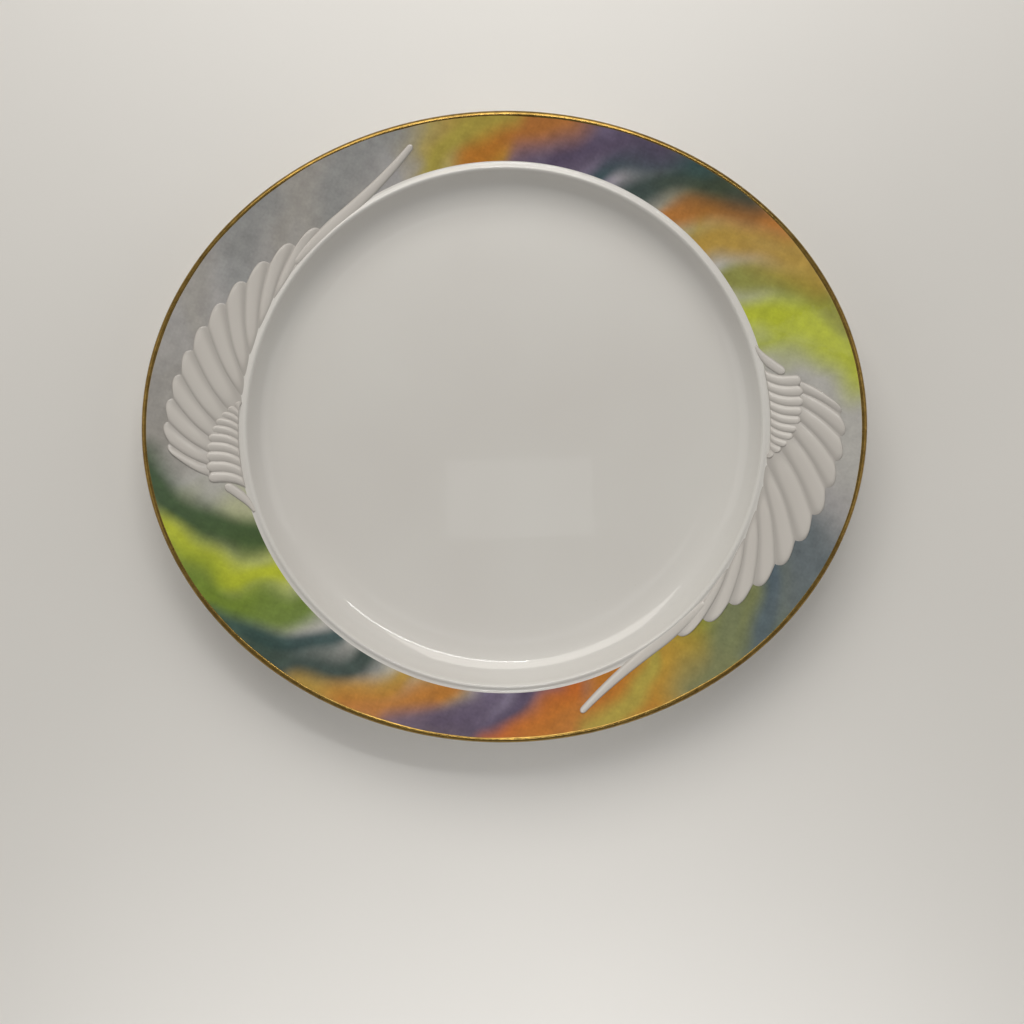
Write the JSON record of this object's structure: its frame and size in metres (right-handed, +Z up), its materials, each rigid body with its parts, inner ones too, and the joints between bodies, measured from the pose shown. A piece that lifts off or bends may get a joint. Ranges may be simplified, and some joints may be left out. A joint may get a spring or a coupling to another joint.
{
  "type": "china dinner plate",
  "caption": "Oval porcelain dinner plate with a round well, a foot ring, winged relief on the rim, fired colour transfers and a gold edge line.",
  "frame": {"origin": "centre of the foot ring's face, on the surface that the plate stands on", "axes": "+Z up out of the well, +X along the oval's length, +Y across it; the left wing is on the -X side"},
  "size_m": [0.286, 0.249, 0.025],
  "materials": {
    "glazed_porcelain": "clear gloss glaze over white porcelain",
    "relief_porcelain": "clear gloss glaze over white relief",
    "bisque": "unglazed, fine and matte",
    "gold_lustre": "burnished gold lustre",
    "upper_print": "glossy fired transfer with soft airbrushed washes",
    "lower_print": "glossy fired transfer with soft airbrushed washes"
  },
  "bodies": {
    "root": {"well": "glazed_porcelain", "foot_ring": "bisque", "shoulder_bead": "glazed_porcelain", "rim": "glazed_porcelain", "gold_band": "gold_lustre", "upper_transfer": "upper_print", "lower_transfer": "lower_print", "left_feathers": "relief_porcelain", "left_coverts": "relief_porcelain", "left_plume": "relief_porcelain", "right_feathers": "relief_porcelain", "right_coverts": "relief_porcelain", "right_plume": "relief_porcelain"}
  },
  "joints": []
}
